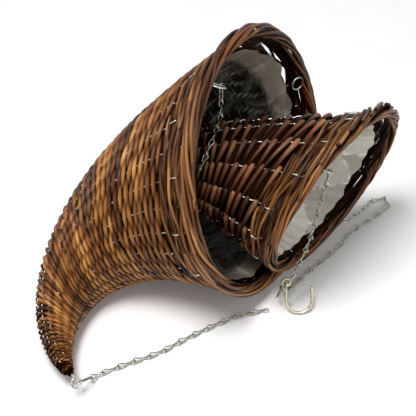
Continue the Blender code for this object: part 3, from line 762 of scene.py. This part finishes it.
# Where the streaks of each rod start in the noise
ROW_START, COLUMN_START = 1.7, 0.31
INNER_START = 90.0
COLLAR_START = 40.0
BORDER_START = 70.0
ENDS_START = 90.0
ROD_START = 1.3


def tones_at(basket, tone, angle):
    """Painted light and shade: rods are drawn more golden on the side that faces the light, and redder away
    from it.
    """
    way = np.cos(angle - radians(basket.painted_light_way))
    tones = np.array(np.broadcast_to(tone, (len(angle), 3)))
    tones[:, 0] += basket.gold_and_painted_light * way
    tones[:, 2] -= PAINTED_SHADE_RED_FALL * basket.gold_and_painted_light * way
    return np.clip(tones, 0.0, 1.0)


def new_tone(least_lit):
    return pick(GOLD_RANGE), RANDOM.uniform(least_lit, 1.0), RANDOM.random() ** 2


def rod_tones(basket, angle, spans):
    """Tones along a row, which change where a new rod is laid in."""
    samples = len(angle)
    tones = np.empty((samples, 3))
    at = RANDOM.integers(0, samples)
    done = 0
    while done < samples:
        span = int(RANDOM.integers(*ROD_SPANS) * samples / spans) + 1
        index = (at + np.arange(done, min(done + span, samples))) % samples
        tones[index] = new_tone(LEAST_LIT)
        done += span
    return tones_at(basket, tones, angle)


def pick(limits):
    return RANDOM.uniform(*limits)


def ripple(angle, crests):
    """A wave round the mouth, with a number of crests from a range and a start of its own."""
    return np.sin(angle * RANDOM.integers(*crests) + RANDOM.uniform(0, tau))


# Rows of strokes
FIRST_ROW_SHARE = 0.014
TAIL_PITCH = 0.0040
LAST_ROW_PITCHES = 0.4
GROWN_SHARE = 0.5
GROWN_POWER = 0.8
TIP_LINES = 8
TIP_LINES_RADIUS = 0.011
HALF_LINES_RADIUS = 0.064
MANY_LINES = 20

# One stroke, from one stake line to the next: even, or headed with a thick end that lies outside
ROD_GAP = 0.0003
STROKE_SAMPLES = 11
STROKE_SIDES = 8
STROKE_TIP_SHARE = 0.02
HEAD_SHARE = 0.08
EVEN_END_SHARE = 0.36
HEADED_THINNING = 0.6
HEADED_START_SHARE = 0.6
EVEN_DIP = 0.0042
HEADED_DIP = 0.0052
HEADED_DIP_POWER = 1.5
HEADED_START_DIP = 0.0016
NARROW_RADIUS = 0.006
NARROW_RANGE = 0.02
LEAST_DIP_SHARE = 0.15
NEW_ROD_CHANCE = 0.35
ROD_SPREAD = (0.84, 1.1)
REACH_GAPS = (1.14, 1.3)
EVEN_REACH = 1.2
HEADED_SHIFT = 0.52
SHIFT_SPREAD = 0.04
SLANT_SPREAD = 0.24
STEP_SPREAD = 0.06
DEPTH_SPREAD = 0.0007
TAIL_LIT = 0.78
HEADED_LIT_FALL = 0.8
HEADED_LIT_POWER = 1.3
EVEN_END_LIT = 0.12
EVEN_LIT_POWER = 0.8
STROKE_FLANK_SHADE = 0.15


def rows_of(basket):
    """Where each row of strokes lies along the horn, its spacing, and how full-grown its rods are."""
    share = FIRST_ROW_SHARE
    rows = []
    while share < basket.body_share - LAST_ROW_PITCHES * basket.pitch / basket.spine_length:
        grown = min(1.0, share / GROWN_SHARE) ** GROWN_POWER
        spacing = between(TAIL_PITCH, basket.pitch, grown) / basket.spine_length
        rows.append((share, spacing, grown))
        share += spacing
    return rows


def lines_at(basket, radius):
    """How many stake lines a row crosses: every other stake starts part of the way up."""
    if radius < TIP_LINES_RADIUS:
        return TIP_LINES
    if radius < HALF_LINES_RADIUS and basket.lines > MANY_LINES:
        return basket.lines // 2
    return basket.lines


def stroke(basket, along, rod):
    """Radius and depth of one visible stretch of a rod, from one stake line to the next."""
    if basket.headed:
        start = np.sqrt(np.clip(along / HEAD_SHARE, 0.0, 1.0))
        radii = rod * (1.0 - HEADED_THINNING * along) * between(HEADED_START_SHARE, 1.0, start)
        dip = HEADED_DIP * along ** HEADED_DIP_POWER + HEADED_START_DIP * (1.0 - start)
    else:
        inner = np.clip(along, STROKE_TIP_SHARE, 1.0 - STROKE_TIP_SHARE)
        body = np.sqrt(np.sin(pi * inner))
        radii = rod * between(EVEN_END_SHARE, 1.0, body)
        dip = EVEN_DIP * (1.0 - body)
    return radii, radii + ROD_GAP + dip


def strokes(net, basket):
    """The rods where they show outside, side by side in columns between the stake lines."""
    along = np.linspace(0.0, 1.0, STROKE_SAMPLES)
    # Painted shade: each stroke is drawn darker toward where it dips under its neighbours.
    if basket.headed:
        shift, longer = HEADED_SHIFT, 1.0
        lit = 1.0 - HEADED_LIT_FALL * along ** HEADED_LIT_POWER
    else:
        shift, longer = 0.0, EVEN_REACH
        lit = between(EVEN_END_LIT, 1.0, np.sin(pi * along) ** EVEN_LIT_POWER)
    for row, (share, spacing, grown) in enumerate(rows_of(basket)):
        radius = radius_at(basket, share)
        lines = lines_at(basket, radius)
        gap = tau / lines
        room = min(1.0, max(LEAST_DIP_SHARE, (radius - NARROW_RADIUS) / NARROW_RANGE))
        tone = RANDOM.uniform(*ROW_TONES, 3)
        for column in range(lines):
            if RANDOM.random() < NEW_ROD_CHANCE:
                tone = new_tone(STROKE_LEAST_LIT)
            rod = between(basket.tail_rod, basket.rod, grown) * pick(ROD_SPREAD)
            reach = gap * pick(REACH_GAPS) * longer
            middle = column + shift + RANDOM.uniform(-SHIFT_SPREAD, SHIFT_SPREAD)
            angle = gap * middle + reach * (along - 0.5)
            slant = RANDOM.normal(0.0, SLANT_SPREAD) * (along - 0.5) + RANDOM.normal(0.0, STEP_SPREAD)
            shares = share + spacing * (0.5 * (column % 2) + slant)
            radii, inset = stroke(basket, along, rod)
            inset = between(radii, inset, room) + RANDOM.uniform(0.0, DEPTH_SPREAD)
            points, outs = horn(basket, shares, inset, angle)
            tones = tones_at(basket, tone, angle)
            # Rods are also drawn darker toward the tail, on top of the painted shade along the stroke.
            tones[:, 1] *= between(TAIL_LIT, 1.0, grown)
            tones[:, 1] *= lit
            start = row * ROW_START + column * COLUMN_START
            net.rod(points, radii, radii, STROKE_SIDES, STROKE_FLANK_SHADE, outs, tones, start)


# The rods' inner halves, and a solid core at the tail's end
INNER_FROM_SHARE = 0.1
INNER_FULL_RADIUS = 0.1
INNER_LEAST_SHARE = 0.5
INNER_FINE_RADIUS = 0.05
INNER_SAMPLES = (42, 84)
INNER_SIDES = 5
INNER_INSET = 0.0098
INNER_INSET_SHARE = 0.45
INNER_WAVE = 0.0005
INNER_LIT = 0.1
INNER_FLANK_SHADE = 0.5
INNER_SPACING = 1.86
CORE_END_SHARE = 0.16
CORE_RADIUS_SHARE = 0.62
CORE_SIDES = 14
CORE_TONE = (0.1, 0.1, 0.5)


def weave(basket, look):
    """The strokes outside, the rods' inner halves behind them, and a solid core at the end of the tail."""
    net = Net()
    strokes(net, basket)
    share = INNER_FROM_SHARE
    while share < basket.body_share:
        radius = float(radius_at(basket, share))
        rod = basket.inner_rod * min(1.0, INNER_LEAST_SHARE + radius / INNER_FULL_RADIUS)
        samples = INNER_SAMPLES[radius > INNER_FINE_RADIUS]
        angle = tau * np.arange(samples) / samples
        wave = np.sin(angle * basket.lines / 2)
        inset = min(INNER_INSET, radius * INNER_INSET_SHARE) + INNER_WAVE * wave
        points, outs = horn(basket, share, inset, angle)
        tones = rod_tones(basket, angle, basket.lines)
        # Painted shade: the inner halves behind the strokes are drawn nearly black.
        tones[:, 1] *= INNER_LIT
        net.rod(points, rod, rod, INNER_SIDES, INNER_FLANK_SHADE, outs, tones, share * INNER_START, True)
        share += INNER_SPACING * rod / basket.spine_length
    # The core at the tail's end is drawn in deep painted shade by its tone.
    shares = np.linspace(0.0, CORE_END_SHARE, CORE_SIDES)
    radii = radius_at(basket, shares)
    points, _ = horn(basket, shares, radii, 0.0)
    net.tube(points, radii * CORE_RADIUS_SHARE, CORE_SIDES, tone=CORE_TONE)
    net.basket_piece(basket, "weave", look, ("woven_horn",))


# Long rods of the collar and the border
LONG_ROD = 0.0020
LONG_SIDES = 7
LONG_WAVE = 0.08
LONG_TONE_LINES = 3
COLLAR_TOP_SHARE = 0.95
COLLAR_SAMPLES = 120
COLLAR_SPREAD = (0.85, 1.15)
COLLAR_SHIFT = 0.3
COLLAR_REACH = (110.0, 190.0)
COLLAR_POWER = 0.85
COLLAR_RIPPLE, COLLAR_CRESTS = 0.07, (3, 7)
COLLAR_FINE, COLLAR_FINE_CRESTS = 0.02, (9, 16)
COLLAR_OVERLAP = 0.04
COLLAR_WAVE_SHIFT = 2.1
COLLAR_WAVE = 0.0014
COLLAR_LAYER = 0.0022
COLLAR_END_SHARE = 0.06
COLLAR_END_DIP = 0.004
COLLAR_END_THINNING = 0.4
COLLAR_WAVE_LIT = (0.72, 0.28)
COLLAR_LAYER_LIT = (1.0, 0.75, 0.6)
COLLAR_FLANK_SHADE = 0.62
BORDER_SAMPLES = 320
BORDER_TURNS = 3
BORDER_CORE_RODS = 3
BORDER_CORE_SHARE = 0.45
BORDER_SPREAD = (0.9, 1.15)
BORDER_SWAY, BORDER_CRESTS = 0.45, (2, 5)
BORDER_FINE, BORDER_FINE_CRESTS = 0.12, (8, 14)
BORDER_DIP, BORDER_DIP_CRESTS = 0.18, (4, 9)
BORDER_WAVE_CRESTS = 11
BORDER_FLANK_SHADE = 0.5
NUDGE = 1e-6
ENDS_COUNT = 9
ENDS_SAMPLES = 16
ENDS_SIDES = 8
ENDS_SPREAD = 2.0
ENDS_LENGTH = (16.0, 24.0)
ENDS_DEPTH_SHARES = (1.9, 1.3)
ENDS_STEP = 0.001
ENDS_REACH_SHARES = (0.35, 1.1)
ENDS_ROD_SHARE = 0.3
ENDS_THINNING = 0.08
ENDS_FLANK_SHADE = 0.3


def collar(basket, look):
    """Long rods laid nearly along the rim, in three layers that cross at shallow angles."""
    net = Net()
    low = basket.body_share
    high = share_at_depth(basket, COLLAR_TOP_SHARE * basket.border_radius)
    along = np.linspace(0.0, 1.0, COLLAR_SAMPLES)
    ends = 1.0 - np.clip(np.minimum(along, 1.0 - along) / COLLAR_END_SHARE, 0.0, 1.0)
    for layer, count in enumerate(basket.collar_rods):
        for index in range(count):
            rod = LONG_ROD * pick(COLLAR_SPREAD)
            first = tau * (index + RANDOM.uniform(-COLLAR_SHIFT, COLLAR_SHIFT)) / count
            reach = radians(pick(COLLAR_REACH))
            angle = first + reach * along * (-1.0 if layer == 1 else 1.0)
            waves = COLLAR_RIPPLE * ripple(angle, COLLAR_CRESTS)
            fine = ripple(angle, COLLAR_FINE_CRESTS)
            waves = (waves + COLLAR_FINE * fine) * np.sin(pi * along)
            place = np.clip(along ** COLLAR_POWER + waves, 0.0, 1.0)
            shares = low + (high - low) * (-COLLAR_OVERLAP + (1.0 + COLLAR_OVERLAP) * place)
            wave = np.sin(angle * basket.lines / 4 + index * COLLAR_WAVE_SHIFT + layer * pi)
            inset = rod + ROD_GAP + COLLAR_WAVE * (1 - wave) + COLLAR_LAYER * layer + COLLAR_END_DIP * ends
            points, outs = horn(basket, shares, inset, angle)
            tones = rod_tones(basket, angle, basket.lines / LONG_TONE_LINES)
            # Painted shade: rods are drawn darker where they dip inward and in the deeper layers.
            level, change = COLLAR_WAVE_LIT
            tones[:, 1] *= (level + change * wave) * COLLAR_LAYER_LIT[layer]
            radii = rod * (1 + LONG_WAVE * fine) * (1.0 - COLLAR_END_THINNING * ends)
            start = COLLAR_START + ROD_START * index
            net.rod(points, radii, rod, LONG_SIDES, COLLAR_FLANK_SHADE, outs, tones, start)
    net.basket_piece(basket, "collar_rods", look, ("collar",))


def border(basket, look):
    """The border: rods laid along the mouth with a slow twist, and cut ends that stand out of it."""
    net = Net()
    count = basket.border_rods
    angle = tau * np.arange(BORDER_SAMPLES) / BORDER_SAMPLES
    room = basket.border_radius
    middle = basket.mouth_radius - room
    for index in range(count + BORDER_CORE_RODS):
        rod = LONG_ROD * pick(BORDER_SPREAD)
        share = BORDER_CORE_SHARE if index >= count else 1.0
        sway = BORDER_SWAY * ripple(angle, BORDER_CRESTS)
        sway += BORDER_FINE * ripple(angle, BORDER_FINE_CRESTS)
        turn = (BORDER_TURNS + index % 3 - 1) * angle + tau * index / count + sway
        dip = (1 + np.sin(angle * RANDOM.integers(*BORDER_DIP_CRESTS) + index)) / 2
        reach = (room - rod) * share * (1.0 - BORDER_DIP * dip)
        points, outs = mouth_point(basket, room - reach * np.sin(turn), middle + reach * np.cos(turn), angle)
        away = points - mouth_point(basket, room, middle, angle)[0] + NUDGE * outs
        tones = rod_tones(basket, angle, basket.lines / LONG_TONE_LINES)
        radii = rod * (1 + LONG_WAVE * np.sin(angle * BORDER_WAVE_CRESTS + index))
        start = BORDER_START + ROD_START * index
        net.rod(points, radii, rod, LONG_SIDES, BORDER_FLANK_SHADE, away, tones, start, True)
    if basket.ends:
        cut_ends(net, basket)
    net.basket_piece(basket, "border_rods", look, ("border",))


def cut_ends(net, basket):
    """Rods whose cut ends stand out of the border a little."""
    room = basket.border_radius
    deep, rise = ENDS_DEPTH_SHARES
    inner, outer = ENDS_REACH_SHARES
    along = np.linspace(0.0, 1.0, ENDS_SAMPLES)
    for index, degrees in enumerate(np.linspace(*basket.ends, ENDS_COUNT)):
        first = radians(degrees + RANDOM.uniform(-ENDS_SPREAD, ENDS_SPREAD))
        angles = first + np.radians(pick(ENDS_LENGTH)) * along
        depth = room * (deep - rise * along) + ENDS_STEP * (index % 3)
        reach = basket.mouth_radius - inner * room + room * outer * along ** 2
        points, outs = mouth_point(basket, depth, reach, angles)
        tones = np.repeat(rod_tones(basket, angles, LONG_TONE_LINES)[:1], ENDS_SAMPLES, 0)
        radii = ENDS_ROD_SHARE * room * (1.0 - ENDS_THINNING * along)
        start = ENDS_START + ROD_START * index
        net.rod(points, radii, radii, ENDS_SIDES, ENDS_FLANK_SHADE, outs, tones, start)


# Stake wires and staples
WIRE_TUBE_SIDES = 6
STAKE_START_SHARE = 0.04
LATE_START_SHARE = 0.385
STAKE_END_SHARE = 0.004
STAKE_SAMPLES = 420
STAKE_SUNK_RODS = 1.38
STAKE_PRESS = 0.0008
STAKE_WAVE = 0.0010
STAKE_WAVE_PITCH = 1.3
STAKE_INSET_SHARE = 0.35
STAKE_COLLAR_INSET = 0.0062
STAKE_SHOWN_SHARE = 0.4
STAPLE_SHOWN_SHARE = 0.36
STAPLE_PLACES = (0.25, 0.75)
STAPLE_LENGTH = 0.0100
STAPLE_SHARES = np.array([-1.0, -1.0, -0.9, -0.3, 0.3, 0.9, 1.0, 1.0])
STAPLE_INSETS = (0.0055, 0.0030, 0.0012, 0.0006, 0.0006, 0.0012, 0.0030, 0.0055)


def stake_wires(basket, look):
    """Wires from the tail to the mouth that pass over and under the rods, and staples over the collar."""
    net = Net()
    rows = rows_of(basket)
    row_shares = np.array([share for share, _, _ in rows])
    full = basket.lines
    many = full > MANY_LINES
    for index in range(full):
        angle = tau * index / full
        first = LATE_START_SHARE if many and index % 2 == 1 else STAKE_START_SHARE
        shares = np.linspace(first, basket.rim_share - STAKE_END_SHARE, STAKE_SAMPLES)
        radius = radius_at(basket, shares)
        lines = np.array([lines_at(basket, each) for each in radius])
        column = np.round(angle * lines / tau)
        phase = np.interp(shares, row_shares, np.arange(len(rows)))
        press = np.cos(tau * phase + pi * column)
        wave = np.sin(phase * STAKE_WAVE_PITCH + index)
        sunk = STAKE_SUNK_RODS * basket.rod + STAKE_PRESS * press + STAKE_WAVE * wave
        inset = np.minimum(sunk, radius * STAKE_INSET_SHARE)
        inset = np.where(shares > basket.body_share, STAKE_COLLAR_INSET, inset)
        points, outs = horn(basket, shares, inset, angle)
        net.tube(points, STAKE_WIRE * STAKE_SHOWN_SHARE, WIRE_TUBE_SIDES, False, outs)
        if index % 2 == 0 or not many:
            staple(net, basket, angle, pick(STAPLE_PLACES))
    nodes = [f"stake_{index + 1:02d}" for index in range(STAKES)]
    net.basket_piece(basket, "stake_wires", look, nodes)


def staple(net, basket, angle, place):
    """A short stretch of wire that holds the collar's rods down."""
    share = share_at_depth(basket, basket.border_radius * 2 + basket.collar_depth * place)
    shares = share + STAPLE_LENGTH / 2 / basket.spine_length * STAPLE_SHARES
    points, _ = horn(basket, shares, STAPLE_INSETS, angle)
    net.tube(points, STAKE_WIRE * STAPLE_SHOWN_SHARE, WIRE_TUBE_SIDES)


# Film
FILM_ROWS = 70
FILM_SIDES = 260
FILM_START_SHARE = 0.2
FILM_TOP_SHARE = 0.01
FILM_WAVES = 26
FILM_AROUND = (3, 26)
FILM_ALONG = (-9.0, 9.0)
FILM_ALONG_TURNS = 4
FILM_HEIGHTS = (0.3, 1.0)
FOLDS = 14
FOLD_SWAY, FOLD_SWAY_PITCH = 2.0, 30
FOLD_GLINT_EDGE = 4.0
FOLD_GLINT = 0.9
RAGGED = ((0.006, 5, 1.0), (0.004, 13, 0.0), (0.003, 29, 0.0))
RAGGED_SHARE = 0.06
FILM_INSET = 0.0142
FILM_INSET_SHARE = 0.9
CREASE_DEPTH = 0.0042
FOLD_DEPTH = 0.0012
GLINT_LENGTH = 0.0416
CLOUD_STRETCH = 8


def liner(basket, look):
    """The film bag, crinkled, with a loose ragged edge inside the mouth."""
    net = Net()
    angle = tau * np.arange(FILM_SIDES) / FILM_SIDES
    top = basket.rim_share - FILM_TOP_SHARE
    shares = np.linspace(FILM_START_SHARE, top, FILM_ROWS)
    places, angles = np.meshgrid(shares, angle, indexing="ij")
    crease = np.zeros_like(places)
    for _ in range(FILM_WAVES):
        around = RANDOM.integers(*FILM_AROUND)
        along = pick(FILM_ALONG)
        height = pick(FILM_HEIGHTS)
        turned = around * angles + along * places * FILM_ALONG_TURNS + RANDOM.uniform(0, tau)
        crease += height * np.abs(np.sin(turned)) / np.sqrt(around)
    crease = (crease - crease.min()) / (crease.max() - crease.min())
    folds = np.abs(np.sin(FOLDS * angles + FOLD_SWAY * np.sin(places * FOLD_SWAY_PITCH)))
    edge = sum(share * np.sin(angles * waves + shift) for share, waves, shift in RAGGED)
    rim = np.clip((places - top + RAGGED_SHARE) / RAGGED_SHARE, 0.0, 1.0)
    inset = FILM_INSET + CREASE_DEPTH * crease + FOLD_DEPTH * folds * (1.0 - rim)
    inset = np.minimum(inset, radius_at(basket, places) * FILM_INSET_SHARE)
    points, _ = horn(basket, places + edge * rim, inset, angles)
    spots = np.stack([places * CLOUD_STRETCH, angles, crease], -1)
    # Painted glints along the folds, in bands down the wall, away from the ragged edge.
    rows_lit = 0.5 + 0.5 * np.sin(places * basket.spine_length / GLINT_LENGTH * tau)
    glint = np.clip(1.0 - folds * FOLD_GLINT_EDGE, 0.0, 1.0) * rows_lit * (1.0 - rim) * FOLD_GLINT
    # Painted shade: the film is drawn dark deep in the basket, then paler toward its folded edge.
    low, fade = basket.film_fold_and_painted_shade
    tones = np.stack([glint, np.clip((places - top + low) / fade, 0.0, 1.0), crease], -1)
    net.grid(points, spots, tones, False, False)
    made = net.basket_piece(basket, "liner_film", look, ("liner",))


# Studio: how far the floor is lifted to white, the sky's light on the object, and the lamps, each
# with its place, size and power
FLOOR_SIZE = 12.0
FLOOR_HEIGHT = -0.0004
FLOOR_GRAIN = (14.0, EVENLY, 3.0)
FLOOR_GREYS = (0.9, 0.93)
FLOOR_ROUGH = 0.9
FLOOR_LIFT = 0.05
WORLD_LIGHT = 0.28
WHITE = (1.0, 1.0, 1.0, 1.0)
LAMP_AIM = Vector((0.0, 0.0, 0.1))
LAMPS = (
    ("key", (-0.6, -0.5, 2.9), 1.1, 80.0),
    ("fill", (2.2, -1.5, 1.8), 2.2, 13.0),
)


def seen_directly(tree):
    """1 for the camera's own view and for what metal or film shows of it, 0 for light on the object."""
    camera, glossy, through = (tree.add("LightPath", f"Is {kind} Ray")
                               for kind in ("Camera", "Glossy", "Transmission"))
    return tree.result("MAXIMUM", tree.result("MAXIMUM", camera, glossy), through)


def stage():
    """A pale floor that keeps shadows and reads white where none falls."""
    bpy.ops.mesh.primitive_plane_add(size=FLOOR_SIZE, location=(0.0, 0.0, FLOOR_HEIGHT))
    floor = bpy.context.object
    floor.name = "studio_floor"
    made, tree, shader = new_material("studio_floor")
    grain = tree.noise(tree.place(), *FLOOR_GRAIN)
    tree.put(tree.ramp(grain, ROUGH_PLACES, FLOOR_GREYS), shader["Base Color"])
    tree.put(FLOOR_ROUGH, shader["Roughness"])
    tree.put(WHITE, shader["Emission Color"])
    tree.put(tree.times(seen_directly(tree), FLOOR_LIFT), shader["Emission Strength"])
    floor.data.materials.append(made)


def lights():
    """White sky that lights the object less than it shows, and two soft lamps."""
    world = bpy.data.worlds.new("studio")
    bpy.context.scene.world = world
    world.use_nodes = True
    tree = Tree(world.node_tree)
    back = tree.nodes["Background"].inputs
    tree.put(WHITE, back["Color"])
    shown = tree.times(seen_directly(tree), 1.0 - WORLD_LIGHT)
    tree.put(tree.result("ADD", shown, WORLD_LIGHT), back["Strength"])
    for name, place, size, power in LAMPS:
        data = bpy.data.lights.new(name, "AREA")
        data.size = size
        data.energy = power
        lamp = bpy.data.objects.new(name, data)
        lamp.location = place
        lamp.rotation_euler = (LAMP_AIM - Vector(place)).to_track_quat("-Z", "Y").to_euler()
        bpy.context.scene.collection.objects.link(lamp)


for each in (LARGE, SMALL):
    plan(each)
chains()
weave(LARGE, "large_willow")
weave(SMALL, "small_willow")
for each in (LARGE, SMALL):
    collar(each, "collar_willow")
    border(each, "collar_willow")
    stake_wires(each, "galvanised_wire")
liner(LARGE, "large_film")
liner(SMALL, "small_film")
stage()
lights()
